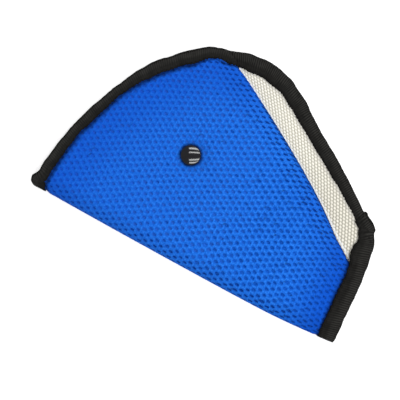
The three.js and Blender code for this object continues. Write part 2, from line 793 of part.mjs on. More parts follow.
function snapPost() {
  const rivet = STUD_BASE_TOP + SNAP_GAP;
  return turned([
    [POST_BORE_RADIUS, FLANGE_RECESS],
    [FLANGE_RADIUS, FLANGE_RECESS],
    [FLANGE_RADIUS, FLANGE_TOP - FLANGE_BEVEL],
    [FLANGE_RADIUS - FLANGE_BEVEL, FLANGE_TOP],
    [POST_RADIUS, FLANGE_TOP],
    [POST_RADIUS, rivet],
    [POST_HOLE_RADIUS + RIVET_LAP, rivet],
    [POST_HOLE_RADIUS + RIVET_LAP, rivet + RIVET_THICK],
    [POST_BORE_RADIUS, rivet + RIVET_THICK],
  ]);
}

// Assembly

function piece(name, geometry, colour, roughness, metalness) {
  const material = new THREE.MeshStandardMaterial({ color: colour, roughness, metalness });
  const mesh = new THREE.Mesh(geometry, material);
  mesh.name = name;
  return mesh;
}

function pressStud() {
  const stud = new THREE.Group();
  stud.position.set(SNAP_X, SNAP_Y, 0);
  stud.add(
    piece("snap_cap", snapCap(), COLOURS.gloss, 0.12, 0.0),
    piece("snap_socket", snapSocket(), COLOURS.steel, 0.35, 0.9),
    piece("snap_spring", snapSpring(), COLOURS.steel, 0.3, 0.9),
    piece("snap_stud", snapStud(), COLOURS.steel, 0.35, 0.9),
    piece("snap_post", snapPost(), COLOURS.gloss, 0.3, 0.5),
  );
  return stud;
}

const pad = new THREE.Group();
pad.add(
  piece("mesh_shell", meshShell(), COLOURS.blue, 0.85, 0),
  piece("lining", lining(), COLOURS.beige, 0.95, 0),
  piece("long_binding", longBinding(), COLOURS.black, 0.9, 0),
  piece("short_edge_binding", shortBinding(), COLOURS.black, 0.9, 0),
  pressStud(),
);

// The origin is the middle of the pad's footprint, on the table
const footprint = new THREE.Box3().setFromObject(pad);
const middle = footprint.getCenter(new THREE.Vector3());
pad.position.set(-middle.x, -middle.y, -footprint.min.z);

export default pad;
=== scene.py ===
"""Looks of the seat belt shoulder pad. Lengths are in millimetres until placed() turns them into metres.

As in the CAD source, each soft piece is first laid out flat: x runs along the long fold, w across it with
the front leaf above 0, and depth counts inwards from the mesh's outer face. laid() folds it into place.
"""
import math

import bpy
import numpy as np
from mathutils import Matrix, kdtree

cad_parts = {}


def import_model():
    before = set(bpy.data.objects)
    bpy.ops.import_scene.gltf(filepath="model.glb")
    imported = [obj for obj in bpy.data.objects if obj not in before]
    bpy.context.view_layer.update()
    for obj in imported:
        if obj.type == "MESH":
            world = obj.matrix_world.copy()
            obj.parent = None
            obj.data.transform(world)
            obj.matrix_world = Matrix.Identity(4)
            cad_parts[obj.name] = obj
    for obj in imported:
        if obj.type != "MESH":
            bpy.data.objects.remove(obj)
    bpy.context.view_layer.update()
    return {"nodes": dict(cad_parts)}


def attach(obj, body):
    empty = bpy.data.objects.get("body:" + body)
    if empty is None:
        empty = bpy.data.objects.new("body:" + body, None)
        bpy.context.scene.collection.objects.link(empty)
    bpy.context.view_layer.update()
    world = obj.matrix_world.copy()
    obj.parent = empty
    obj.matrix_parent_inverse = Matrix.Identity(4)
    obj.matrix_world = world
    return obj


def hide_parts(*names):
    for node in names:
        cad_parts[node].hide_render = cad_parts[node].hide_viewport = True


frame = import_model()

# The CAD source's sizes
LEAF, BELT_GAP, SHORT_EDGE_GAP, PINCH = 3.0, 5.5, 0.6, 0.5
THICK, SHORT_THICK = 2 * LEAF + BELT_GAP, 2 * LEAF + SHORT_EDGE_GAP
RIGHT_END, SHORT_TAPE_WIDTH, LEAN, CONVERGE_LENGTH = 236.0, 12.5, 0.085, 45.0
FOLD_BOW, BOW_FADE = 2.875, 50.0
TURN_START, TURN_END = np.array([82.0, 145.2]), np.array([219.0, 60.2])
TURN_BOW, TURN_BOW_FADE, TURN_GAP, CLOSED_TURN_GAP, TURN_MARGIN = 2.9, 40.0, 0.8, 0.25, 12.0
SNAP = np.array([80.8, 72.6])
CAP_RADIUS, SEAT_RADIUS, SOCKET_SEAT, DIMPLE = 7.5, 7.8, 6.1, 9.0
SNAP_LEAF, FRONT_SEAT, BACK_SEAT, CAP_RIM, CAP_TOP = 1.2, 7.6, 1.5, 9.1, 11.5
MIDDLE = np.array([111.8997, 78.8573])
PITCH_X, PITCH_W = 4.05, 4.75

# Sizes of the looks alone
SHOULDER, APEX = 212.0, 78.0  # places along the fold
LONG_TAPE_COVER, SHORT_TAPE_COVER = 11.5, 15.5  # how far in from the cut a tape surely hides the cloth
HOLE_MARGIN, LINING_MARGIN = 4.5, 3.5  # where the cloth ends inside the cut
LOWEST = 0.02  # no thread or tape goes below this level
BACK_LEAF = -999.0  # a place across the layout that no turned edge reaches
# How much the turned edge draws in near the short edge in the photo, at shares of its length
DRAWN_IN = np.array([
    (0.54, 0), (0.64, 0.15), (0.70, 0.35), (0.78, 0.8), (0.86, 1.5), (0.90, 1.6), (0.94, 1.35), (1, 0.7),
])

# Outlines as [x, y] of the laid pad; many points are as a scratch script read them off the photo
LEFT_CORNER = [(-10.8, 0.0), (-11.6, 2.0), (-13.4, 4.4)]
OUTER_LONG = [
    (-14.0, 4.3), (-13.9, 6.4), (-12.1, 9.4), (-11.3, 11.5), (-11.05, 15), (-11, 20), (-9.9, 25.5), (-8, 38),
    (-5.3, 50), (-1.5, 63.5), (4.4, 79.4), (10.2, 93), (16, 105), (21.9, 115.3), (27.7, 122.8), (33.5, 128.6),
    (39.4, 134.8), (45.2, 140.3), (51, 145), (57, 149), (62.7, 151.2), (68.5, 153.3), (74.3, 155.1),
    (80.2, 157.3), (86, 158.8), (91.8, 159.4), (97.7, 160), (103.5, 159.6), (109.3, 158.9), (115.2, 157.1),
    (121, 155.4), (126.8, 152), (132.7, 149.1), (138.5, 145.6), (144.3, 140.9), (150, 137.2), (156, 132.8),
    (167.6, 125.9), (179.3, 118.6), (191, 110.6), (202.6, 102.4), (208.5, 97.7), (212.5, 95.0), (217, 93.2),
]
OUTER_SHORT = [
    (211.4, 95.3), (213.0, 96.2), (214.7, 96.0), (216.5, 94.2), (220.7, 91.8), (224.6, 89.0), (225.8, 87.2),
    (225.5, 85.4), (227.2, 82.4), (228.6, 80.2), (230.0, 77.3), (230.7, 73.5), (231.3, 69), (232.3, 64),
    (233.0, 57), (234.0, 50), (234.7, 40), (235.1, 30), (235.5, 20), (236.2, 12), (236.5, 5), (236.3, 1.5),
]
INNER_FRONT = [
    (0.2, -4), (0, 0.5), (-1.7, 4.7), (-2.2, 12), (-1.4, 22), (0.3, 34), (1.5, 42), (2.8, 50), (4.8, 54),
    (10.2, 70.5), (16, 87), (21.9, 97.5), (27.7, 106), (33.5, 113.5), (39.4, 120), (45, 126.3), (51, 130.3),
    (57, 137.2), (61, 140.6), (65, 142.9), (67.8, 143.0), (70.4, 142.7), (73.5, 143.1), (76.4, 143.9),
    (80, 145), (84, 145.4), (90, 145.6),
]
INNER_BACK = [
    (83, 145.2), (90, 145.6), (98, 146.5), (102, 146.3), (105, 145.5), (110, 144.5), (115, 143.5),
    (120, 142), (124, 139), (130, 136), (150, 123.9), (170, 111.8), (190, 99.7), (200, 93), (205, 89.7),
    (210, 85.7), (214, 83.5),
]
INNER_SHORT = [
    (190, 100.6), (195, 97.0), (200.2, 93.2), (205.7, 89.7), (211.3, 86.1), (215.1, 82.8), (217.2, 77.8),
    (217.3, 74.6), (217.0, 70.1), (217.5, 66.9), (218.7, 60), (220.5, 55), (221.5, 45), (222, 30),
    (222.8, 20), (223.5, 5), (224, -2),
]


# Easing and seeded noise

def smooth(value):
    u = np.clip(value, 0.0, 1.0)
    return u * u * (3 - 2 * u)


def rise(value, first, last):
    """Share that eases from 0 at first to 1 at last."""
    return smooth((value - first) / (last - first))


def fade(value, first, last):
    """Share that eases from 1 at first to 0 at last."""
    return 1 - rise(value, first, last)


def mix(a, b, share):
    return a + (b - a) * share


def waves(at, seed, longest, count=6):
    """A smooth random curve from about -1 to 1, the same on each run."""
    random = np.random.default_rng(seed)
    at = np.asarray(at, float)
    total = np.zeros_like(at)
    for k in range(count):
        length = longest * (0.55 + 0.9 * random.random()) / (1 + 0.55 * k)
        total += np.sin(2 * math.pi * (at / length + random.random())) / (1 + 0.5 * k)
    return total / 2.6


def even(values, width):
    """Values smoothed over a window that reaches width places either way."""
    kernel = np.hanning(2 * width + 3)[1:-1]
    return np.convolve(np.pad(values, width, mode="edge"), kernel / kernel.sum(), mode="valid")


# Folding, as in the CAD source

TURN_LENGTH = float(np.hypot(*(TURN_END - TURN_START)))
ALONG = (TURN_END - TURN_START) / TURN_LENGTH
ACROSS = np.array([-ALONG[1], ALONG[0]])
# How much further the cloth runs over a quarter turn of radius 1 than straight ahead
QUARTER_EXTRA = math.pi / 2 - 1


def closing(x, v):
    """Share from 0 to 1 of the leaves' closing up towards the short edge."""
    inside = RIGHT_END - SHORT_TAPE_WIDTH - LEAN * v
    return rise(x, inside - CONVERGE_LENGTH, inside)


def top_level(x, v):
    return mix(THICK, SHORT_THICK, closing(x, v))


def fold_radius(x):
    return top_level(x, 0.0) / 2


def pinched(depth, share):
    return LEAF / 2 + (depth - LEAF / 2) * mix(1.0, PINCH, share)


def turn_radius(along):
    x = TURN_START[0] + along * ALONG[0]
    y = TURN_START[1] + along * ALONG[1]
    return mix(LEAF + TURN_GAP / 2, pinched(LEAF, 1.0) + CLOSED_TURN_GAP / 2, closing(x, y))


def turn_bow(along):
    """How far the turned edge stands out from its straight line; DRAWN_IN isn't in the CAD source."""
    share = np.clip(along / TURN_LENGTH, 0, 1)
    return TURN_BOW * 4 * share * (1 - share) - np.interp(share, *DRAWN_IN.T)


def turned_under(x, y, depth):
    dx, dy = x - TURN_START[0], y - TURN_START[1]
    along = dx * ALONG[0] + dy * ALONG[1]
    radius = turn_radius(along)
    past = dx * ACROSS[0] + dy * ACROSS[1] + radius
    rolled = (past > 0) & (past <= math.pi * radius)
    under = past > math.pi * radius
    angle = np.clip(past / radius, 0, math.pi)
    unrolled = np.where(under, math.pi * radius - past, past)
    across = np.where(rolled, (radius - depth) * np.sin(angle), unrolled)
    level = np.where(under, 2 * radius - depth, depth)
    below = np.where(rolled, radius - (radius - depth) * np.cos(angle), level)
    offset = across - radius + turn_bow(along) * fade(np.abs(across), 0, TURN_BOW_FADE)
    return (
        TURN_START[0] + along * ALONG[0] + offset * ACROSS[0],
        TURN_START[1] + along * ALONG[1] + offset * ACROSS[1],
        below,
    )


def fold_bow(x, y):
    share = np.clip(x / RIGHT_END, 0, 1)
    bow = FOLD_BOW * np.maximum(0, 1 - (1 - share) ** 2 - share**9)
    return bow * fade(y, 0, BOW_FADE)


def laid(x, w, depth):
    """Points of the flat layout in the laid pad."""
    x, w, depth = np.broadcast_arrays(*[np.asarray(a, float) for a in (x, w, depth)])
    radius = fold_radius(x)
    v = np.maximum(0, np.abs(w) - math.pi / 2 * radius)
    deep = pinched(depth, closing(x, v))
    reach = radius - deep
    roll_y, roll_z = radius - reach * np.cos(w / radius), radius + reach * np.sin(w / radius)
    turned_x, turned_y, turned_depth = turned_under(x, radius + v, deep)
    front = w > 0
    px, py = np.where(front, turned_x, x), np.where(front, turned_y, radius + v)
    pd = np.where(front, turned_depth, deep)
    in_leaf = depth / LEAF
    seat = np.where(front, FRONT_SEAT + SNAP_LEAF * (1 - in_leaf), BACK_SEAT + SNAP_LEAF * in_leaf)
    away = np.hypot(px - SNAP[0], py - SNAP[1]) - np.where(front, SEAT_RADIUS, SOCKET_SEAT)
    level = np.where(front, top_level(px, py - radius) - pd, pd)
    level = mix(level, seat, fade(away, 0, DIMPLE))
    flat = v == 0
    px, py, level = np.where(flat, x, px), np.where(flat, roll_y, py), np.where(flat, roll_z, level)
    return np.stack([px, py - fold_bow(px, py), level], axis=-1)


def laid_out(x, y):
    """Place across the flat layout of a place of the laid view, back leaf or unturned front leaf."""
    y = y + fold_bow(x, y)
    radius = fold_radius(x)
    rolled = radius * np.arccos(np.clip(1 - y / radius, -1, 1))
    return np.where(y < radius, rolled, y + QUARTER_EXTRA * radius)


def placed(points):
    """The CAD source's layout in millimetres, to the shared frame in metres."""
    out = np.array(points, float)
    out[..., :2] -= MIDDLE
    return out / 1000


# Outline of the cut, and how far a place is from it, from the tapes and from the turned edge

def spline(points, step):
    """A smooth curve through points, resampled at an even step."""
    p = np.array(points, float)
    p = np.vstack([2 * p[0] - p[1], p, 2 * p[-1] - p[-2]])
    t = np.linspace(0, 1, 24, endpoint=False)[:, None]
    out = []
    for a, b, c, d in zip(p, p[1:], p[2:], p[3:]):
        squared, cubed = 2 * a - 5 * b + 4 * c - d, 3 * b - a - 3 * c + d
        out.append(0.5 * (2 * b + (c - a) * t + squared * t**2 + cubed * t**3))
    line = np.vstack([*out, p[-2:-1]])
    length = lengths(line)
    at = np.linspace(0, length[-1], int(length[-1] / step) + 1)
    return points_at(line, length, at)


def lengths(line):
    """Distance along a line of each of its points."""
    return np.concatenate([[0], np.cumsum(np.hypot(*np.diff(line, axis=0).T))])


def points_at(line, length, at):
    return np.stack([np.interp(at, length, line[:, k]) for k in range(2)], axis=1)


def flat_line(points, step=0.5):
    p = np.array(points, float)
    return spline(np.stack([p[:, 0], laid_out(p[:, 0], p[:, 1])], axis=1), step)


long_line, short_line = flat_line(OUTER_LONG), flat_line(OUTER_SHORT)
inner_front, inner_back, inner_short = flat_line(INNER_FRONT), flat_line(INNER_BACK), flat_line(INNER_SHORT)
cut_line = np.vstack([LEFT_CORNER, long_line[long_line[:, 0] < SHOULDER + 1], short_line])


def nearest(points, line):
    """Distance from each point to a line of close points."""
    tree = kdtree.KDTree(len(line))
    for k, (x, w) in enumerate(line):
        tree.insert((x, w, 0), k)
    tree.balance()
    points = np.asarray(points, float).reshape(-1, 2)
    return np.array([tree.find((x, w, 0))[2] for x, w in points.tolist()])


def inside_cut(x, w):
    """How far inside the cut's outline a place is, less than 0 outside it; both leaves are alike."""
    x, w = np.broadcast_arrays(np.asarray(x, float), np.abs(np.asarray(w, float)))
    points = np.stack([x.ravel(), w.ravel()], axis=1)
    ring = np.vstack([[cut_line[0][0], -5], cut_line, [cut_line[-1][0], -5]])
    out = np.zeros(len(points), bool)
    for (ax, aw), (bx, bw) in zip(ring, np.roll(ring, -1, axis=0)):
        if aw == bw:
            continue
        crosses = (aw > points[:, 1]) != (bw > points[:, 1])
        out ^= crosses & (points[:, 0] < (bx - ax) * (points[:, 1] - aw) / (bw - aw) + ax)
    return (np.where(out, 1, -1) * nearest(points, cut_line)).reshape(x.shape)


def from_turn(x, w):
    """Place of a spot of the front leaf by the turned edge's straight line: along it, and out past it."""
    dx, dy = x - TURN_START[0], w - QUARTER_EXTRA * fold_radius(x) - TURN_START[1]
    return dx * ALONG[0] + dy * ALONG[1], dx * ACROSS[0] + dy * ACROSS[1]


def past_turn(x, w):
    """How far past the start of the turned roll a place of the front leaf is, and the roll's radius."""
    along, across = from_turn(x, w)
    radius = turn_radius(along)
    return across + radius, radius


def to_tape(x, w):
    """Distance to the inner edge of the tapes over a place's own leaf."""
    x, w = np.broadcast_arrays(np.asarray(x, float), np.asarray(w, float))
    points = np.stack([x.ravel(), np.abs(w).ravel()], axis=1)
    out = np.minimum(nearest(points, inner_front), nearest(points, inner_short))
    back = (w.ravel() < 0) & (x.ravel() > APEX)
    out[back] = np.minimum(nearest(points[back], inner_back), nearest(points[back], inner_short))
    return out.reshape(x.shape)


def apex(x):
    """Share from 0 to 1 of the stretch at the pad's curved tip, where the cloth creases and stays light."""
    return rise(x, 50, 62) * fade(x, 100, 114)


def tape_press(x, w):
    """How far the cloth is pressed in under and beside the tape."""
    under = inside_cut(x, w) < np.where(x > SHOULDER, SHORT_TAPE_COVER, LONG_TAPE_COVER)
    return (0.80 - 0.45 * apex(x)) * fade(np.where(under, 0, to_tape(x, w)), 0, 3.2)


def tape_shade(x, w):
    """Share of painted shade beside the tape: 1 at its edge, and less of it at the apex."""
    return fade(to_tape(x, w), 0, 3.1 - 1.7 * apex(x))


def tape_falloff_shade(x, w):
    """Share of painted shade that deepens the mesh's blue towards the tapes, strongest at the short edge."""
    right = rise(x, 185, 215)
    return mix(0.50, 0.72, right) * fade(to_tape(x, w), 0, mix(44, 38, right))


# Meshes

def new_mesh(name, points, faces, material, uv=None, values=None):
    """A mesh object from arrays; uv has a pair for each point, and each of values a number for each."""
    mesh = bpy.data.meshes.new(name)
    loops = np.concatenate([f.ravel() for f in faces]).astype(np.int32)
    sizes = np.concatenate([np.full(len(f), f.shape[1]) for f in faces]).astype(np.int32)
    mesh.vertices.add(len(points))
    mesh.vertices.foreach_set("co", placed(points).astype(np.float32).ravel())
    mesh.loops.add(len(loops))
    mesh.loops.foreach_set("vertex_index", loops)
    mesh.polygons.add(len(sizes))
    mesh.polygons.foreach_set("loop_start", np.concatenate([[0], np.cumsum(sizes)[:-1]]).astype(np.int32))
    mesh.polygons.foreach_set("loop_total", sizes)
    mesh.polygons.foreach_set("use_smooth", np.ones(len(sizes), bool))
    mesh.update(calc_edges=True)
    if uv is not None:
        layer = mesh.uv_layers.new(name="flat")
        layer.data.foreach_set("uv", np.asarray(uv, np.float32)[loops].ravel())
    for key, value in (values or {}).items():
        attribute = mesh.attributes.new(key, "FLOAT", "POINT")
        attribute.data.foreach_set("value", np.asarray(value, np.float32))
    mesh.validate()
    mesh.materials.append(material)
    return new_object(name, mesh)


def new_object(name, data):
    made = bpy.data.objects.new(name, data)
    bpy.context.scene.collection.objects.link(made)
    return made


def grid_faces(rows, columns, closed=False):
    """Quads over a grid of points stored row by row."""
    j, i = np.meshgrid(np.arange(rows - 1), np.arange(columns if closed else columns - 1), indexing="ij")
    k = (i + 1) % columns
    near, far = j * columns, (j + 1) * columns
    return np.stack([near + i, near + k, far + k, far + i], -1).reshape(-1, 4)


# Materials

class Nodes:
    """A small helper for the node tree of a material or a world."""

    def __init__(self, owner):
        owner.use_nodes = True
        self.owner, self.tree = owner, owner.node_tree

    def add(self, kind, inputs=None, **settings):
        node = self.tree.nodes.new(kind)
        for key, value in settings.items():
            setattr(node, key, value)
        for key, value in (inputs or {}).items():
            self.feed(node.inputs[key], value)
        return node

    def feed(self, socket, value):
        if isinstance(value, bpy.types.NodeSocket):
            self.tree.links.new(value, socket)
        elif socket.type == "RGBA":
            socket.default_value = (*value, 1.0)
        else:
            socket.default_value = value

    def math(self, operation, a, b, clamp=False):
        return self.add("ShaderNodeMath", {0: a, 1: b}, operation=operation, use_clamp=clamp).outputs[0]

    def mix(self, share, a, b):
        return self.add("ShaderNodeMix", {0: share, 6: a, 7: b}, data_type="RGBA").outputs[2]

    def map(self, value, first, last, low=0.0, high=1.0, **settings):
        """A value between first and last, as one between low and high."""
        inputs = {"Value": value, "From Min": first, "From Max": last, "To Min": low, "To Max": high}
        return self.add("ShaderNodeMapRange", inputs, **settings).outputs[0]

    def ramp(self, value, stops):
        """A grey level for a value, from stops of [value, level]."""
        node = self.add("ShaderNodeValToRGB", {0: value})
        elements = node.color_ramp.elements
        while len(elements) < len(stops):
            elements.new(0.5)
        for element, (at, level) in zip(elements, stops):
            element.position = at
            element.color = (level, level, level, 1.0)
        return node.outputs[0]

    def attribute(self, name):
        return self.add("ShaderNodeAttribute", attribute_name=name, attribute_type="GEOMETRY").outputs["Fac"]

    def flat(self, scale=(1.0, 1.0), turn=0.0):
        """The flat layout's place, in millimetres, scaled and turned."""
        uv = self.add("ShaderNodeUVMap", uv_map="flat").outputs[0]
        inputs = {"Vector": uv, "Scale": (*scale, 1.0), "Rotation": (0, 0, turn)}
        return self.add("ShaderNodeMapping", inputs).outputs[0]

    def along(self, first, last):
        """Share that eases from 0 at first to 1 at last along the fold."""
        x = self.add("ShaderNodeSeparateXYZ", {"Vector": self.flat()}).outputs["X"]
        return self.map(x, first, last, interpolation_type="SMOOTHSTEP")

    def noise(self, vector, scale, detail=3.0, roughness=0.55):
        inputs = {"Vector": vector, "Scale": scale, "Detail": detail, "Roughness": roughness}
        return self.add("ShaderNodeTexNoise", inputs).outputs["Fac"]

    def bands(self, vector, scale, distortion, detail_scale=1.0):
        inputs = {"Vector": vector, "Scale": scale, "Distortion": distortion, "Detail Scale": detail_scale}
        return self.add("ShaderNodeTexWave", inputs, wave_type="BANDS").outputs["Fac"]

    def bump(self, height, strength, distance):
        inputs = {"Height": height, "Strength": strength, "Distance": distance}
        return self.add("ShaderNodeBump", inputs).outputs[0]

    def set(self, **values):
        """Sets sockets of the Principled shader, and gives back the material."""
        for key, value in values.items():
            self.feed(self.tree.nodes["Principled BSDF"].inputs[key.replace("_", " ")], value)
        return self.owner


def material_nodes(name):
    return Nodes(bpy.data.materials.new(name))


def mesh_material():
    n = material_nodes("air_mesh")
    pit = n.attribute("pit")
    broad, fine = n.noise(n.flat(), 0.018, 2.0), n.noise(n.flat(), 0.75)
    speck = n.ramp(fine, [(0.36, 0), (0.64, 1)])
    plain = n.mix(broad, (0.0032, 0.091, 0.515), (0.0053, 0.111, 0.590))
    ground = n.mix(speck, plain, (0.0130, 0.142, 0.665))
    # Painted highlight: the ridges between the holes are lighter than the ground
    ridge = n.mix(speck, (0.0070, 0.118, 0.61), (0.0250, 0.212, 0.84))
    knitted = n.mix(n.ramp(pit, [(0.33, 0), (0.476, 1)]), ridge, ground)
    # Painted shade: the mesh's blue deepens towards the tapes
    knitted = n.mix(n.attribute("near"), knitted, (0.0006, 0.054, 0.48))
    # The pale cloth behind greys the shallow holes of the left half
    blue_share = n.math("MAXIMUM", n.along(85, 165), n.ramp(pit, [(0.66, 0), (0.78, 1)]))
    # Painted shade in the holes: a dark navy, deeper in holes that take more of it
    hole = n.mix(speck, (0.0003, 0.028, 0.225), (0.0062, 0.064, 0.345))
    hole = n.mix(blue_share, (0.048, 0.078, 0.200), hole)
    colour = n.mix(n.ramp(pit, [(0.524, 0), (0.868, 0.72), (1.0, 1)]), knitted, hole)
    # Painted shade makes the left end a little deeper in colour
    colour = n.mix(n.along(10, 150), n.mix(0.30, colour, (0.0045, 0.075, 0.52)), colour)
    colour = n.mix(n.math("MULTIPLY", n.attribute("shade"), 0.92), colour, (0.0008, 0.009, 0.060))
    knit, cross = (n.bands(n.flat(turn=math.radians(turn)), 0.42, 1.2, 2.0) for turn in (32, -32))
    height = n.math("ADD", n.math("MULTIPLY", knit, cross), n.math("MULTIPLY", fine, 0.8))
    return n.set(Base_Color=colour, Roughness=0.85, Normal=n.bump(height, 0.35, 0.00025), Sheen_Weight=0.02,
                 Sheen_Roughness=0.5, Specular_IOR_Level=0.04)


def lining_material():
    n = material_nodes("lining_cloth")
    broad, fine = n.noise(n.flat(), 0.05, 2.0), n.noise(n.flat(), 1.6)
    far = n.along(140, 200)
    low = n.mix(broad, (0.42, 0.400, 0.325), (0.51, 0.485, 0.400))
    low = n.mix(far, low, (0.37, 0.350, 0.285))
    high = n.mix(fine, (0.94, 0.910, 0.810), (1.0, 0.985, 0.91))
    high = n.mix(far, high, n.mix(fine, (0.82, 0.785, 0.685), (0.93, 0.905, 0.81)))
    colour = n.mix(n.attribute("grain"), low, high)
    colour = n.mix(n.math("MULTIPLY", n.attribute("shade"), 0.45), colour, (0.42, 0.41, 0.39))
    colour = n.mix(n.math("MULTIPLY", n.attribute("pale"), 0.75), colour, (0.90, 0.94, 0.98))
    threads = n.bands(n.flat(turn=math.radians(58)), 1.1, 2.0)
    return n.set(Base_Color=colour, Roughness=0.85, Normal=n.bump(n.math("ADD", threads, fine), 0.3, 0.00015),
                 Sheen_Weight=0.08, Specular_IOR_Level=0.25)


def tape_material():
    """Near-black tape, from its folded rim at across 0 to its sewn edge at 1."""
    n = material_nodes("binding_tape")
    across = n.attribute("across")
    fine, broad = n.noise(n.flat((3.0, 0.6)), 1.2), n.noise(n.flat(), 0.16, 3.0, 0.6)
    # Painted light and shade across the tape: lighter near the folded rim, darker towards the sewn edge and
    # at both edges
    level = n.ramp(across, [(0, 0.15), (0.09, 0.62), (0.20, 0.88), (0.45, 0.78), (0.62, 0.40), (0.92, 0.30),
                            (1, 0.12)])
    depth = n.ramp(across, [(0, 0.3), (0.14, 0.85), (0.50, 0.80), (0.72, 0.40), (1, 0.25)])
    # Painted shade in the grooves between the ribs
    groove = n.math("MULTIPLY", depth, n.math("SUBTRACT", 1.0, n.attribute("rib")))
    level = n.math("MULTIPLY", level, n.math("SUBTRACT", 1.50, n.math("MULTIPLY", groove, 1.60)), clamp=True)
    level = n.math("MULTIPLY", level, n.math("ADD", n.math("MULTIPLY", fine, 0.8), 0.58))
    level = n.math("MULTIPLY", level, n.math("ADD", n.math("MULTIPLY", broad, 1.4), 0.30), clamp=True)
    colour = n.mix(level, (0.0010, 0.0010, 0.0010), (0.0285, 0.0278, 0.0258))
    return n.set(Base_Color=colour, Roughness=0.85, Normal=n.bump(fine, 0.3, 0.0001), Specular_IOR_Level=0.04)


def thread_material():
    n = material_nodes("thread")
    twist = n.bands(n.add("ShaderNodeTexCoord").outputs["Object"], 900.0, 1.0)
    colour = n.mix(twist, (0.0015, 0.0015, 0.0015), (0.0075, 0.0075, 0.007))
    return n.set(Base_Color=colour, Roughness=0.7, Normal=n.bump(twist, 0.3, 0.0001), Specular_IOR_Level=0.08)


def gloss_material():
    n = material_nodes("cap_plastic")
    vector = n.add("ShaderNodeTexCoord").outputs["Object"]
    haze, orange_peel = n.noise(vector, 260.0, 4.0), n.noise(vector, 900.0, 2.0)
    colour = n.mix(haze, (0.0035, 0.0037, 0.0055), (0.008, 0.0083, 0.0110))
    rough = n.math("ADD", n.math("MULTIPLY", haze, 0.05), 0.07)
    return n.set(Base_Color=colour, Roughness=rough, IOR=1.68, Normal=n.bump(orange_peel, 0.05, 0.0001))


def metal_material(name, colour, metallic, roughness):
    n = material_nodes(name)
    stain = n.noise(n.add("ShaderNodeTexCoord").outputs["Object"], 420.0, 4.0)
    stained = n.mix(stain, tuple(0.75 * c for c in colour), colour)
    rough = n.math("ADD", n.math("MULTIPLY", stain, 0.12), roughness)
    return n.set(Base_Color=stained, Metallic=metallic, Roughness=rough, Normal=n.bump(stain, 0.08, 0.0001))


MESH_CLOTH, LINING_CLOTH, TAPE_CLOTH = mesh_material(), lining_material(), tape_material()
THREAD, GLOSS = thread_material(), gloss_material()
STEEL = metal_material("stud_metal", (0.60, 0.61, 0.62), 1.0, 0.22)
BLACK_METAL = metal_material("post_metal", (0.020, 0.020, 0.022), 0.6, 0.3)


# Air mesh: a lattice of holes knitted into the flat sheet

# Border of the tile round each hole, in half pitches; neighbours share its points
TILE = np.array([(1, 0), (1, 0.5), (1, 1), (0, 1), (-1, 1), (-1, 0.5),
                 (-1, 0), (-1, -0.5), (-1, -1), (0, -1), (1, -1), (1, -0.5)])
SIDES = len(TILE)
TILE_ANGLE = np.arctan2(TILE[:, 1], TILE[:, 0])
# Rings of each hole from its lip down: shares of its length and width, depth in the cloth, and pit, its share
# of the hole's painted shade
HOLE_RINGS = [(1.2, 1.25, 0.02, 0.0), (1.0, 1.0, 0.25, 0.55), (0.78, 0.76, 0.9, 1.0)]
BORDER_DEPTH, BORDER_PIT, FLOOR_DEPTH = 0.05, -0.375, 1.0
HOLE_LONG, HOLE_SHORT, HOLE_TILT, SLIT_TILT = 1.58, 1.04, -0.17, -0.03
FIRST_COLUMN, SHEET_RIGHT, SHEET_FAR = -6, 260.0, 185.0
# The lattice's drift from even rows, which a scratch script fitted to the photo's holes: factors of
# u**i * v**j, with u and v in decimetres
DRIFT_X = {(0, 0): 1.76, (0, 1): 4.78, (0, 2): -0.62, (0, 3): -1.26, (1, 0): -5.54, (1, 1): -9.03,
           (1, 2): 9.95, (2, 0): 3.79, (2, 1): -2.26, (3, 0): -0.10}
DRIFT_W = {(0, 0): 3.53, (0, 1): 3.22, (0, 2): 4.56, (0, 3): -4.58, (1, 0): -2.43, (1, 1): -5.93,
           (1, 2): 1.55, (2, 0): 1.45, (2, 1): -1.08, (3, 0): -0.21}


def lattice_place(u, v):
    """Flat place of a place of the knitted lattice, which is pulled out of true as the photo shows."""
    a, b = u / 100, np.where(v < 0, 0.2 * (np.exp(np.minimum(v, 0) / 20) - 1), v / 100)
    drift = [sum(c * a**i * b**j for (i, j), c in terms.items()) for terms in (DRIFT_X, DRIFT_W)]
    return u + drift[0], v + drift[1]


def hole_centres(first_v, last_v, front):
    """Lattice places of every hole of a range of rows on one side of the fold."""
    columns = np.arange(FIRST_COLUMN, int(SHEET_RIGHT / PITCH_X))
    rows = np.arange(int(first_v / PITCH_W) - 2, int(last_v / PITCH_W) + 2)
    column, row = np.meshgrid(columns, rows)
    u = (column * PITCH_X).ravel()
    v = ((row + 0.5 * (column % 2)) * PITCH_W).ravel()
    x, w = lattice_place(u, v)
    keep = (v >= first_v - PITCH_W / 2) & (v < last_v) & (inside_cut(x, w) > HOLE_MARGIN)
    if front:
        past, radius = past_turn(x, w)
        keep &= past < math.pi * radius + TURN_MARGIN
    return u[keep], v[keep]


def tile_borders(u, v):
    """Lattice places of all tiles' border points, each of them once, and every tile's index of its own."""
    half_u, quarter_v = PITCH_X / 2, PITCH_W / 4
    border_u = u[:, None] + TILE[:, 0] * half_u
    border_v = v[:, None] + TILE[:, 1] * 2 * quarter_v
    keys = np.round(np.stack([border_u.ravel() / half_u, border_v.ravel() / quarter_v], 1)).astype(int)
    unique, index = np.unique(keys, axis=0, return_inverse=True)
    return unique[:, 0] * half_u, unique[:, 1] * quarter_v, index.reshape(-1, SIDES)


def mesh_shade(x, w, points, front):
    """Share of shade on the mesh: beside the tapes, along the folds and round the cap."""
    shade = np.maximum(tape_shade(x, w), 0.16 * fade(np.abs(w), 8, 18))
    if not front:
        return shade
    past, radius = past_turn(x, w)
    turned_edge = rise(past, 0.45 * radius, 0.90 * radius) * (0.75 - 0.55 * apex(x))
    away = np.hypot(points[:, 0] - SNAP[0], points[:, 1] - SNAP[1]) - CAP_RADIUS
    cap_ring = 0.90 * fade(away, 0.3, 2.3) + 0.10 * fade(away, 0, 7)
    return np.maximum.reduce([shade, turned_edge, cap_ring])


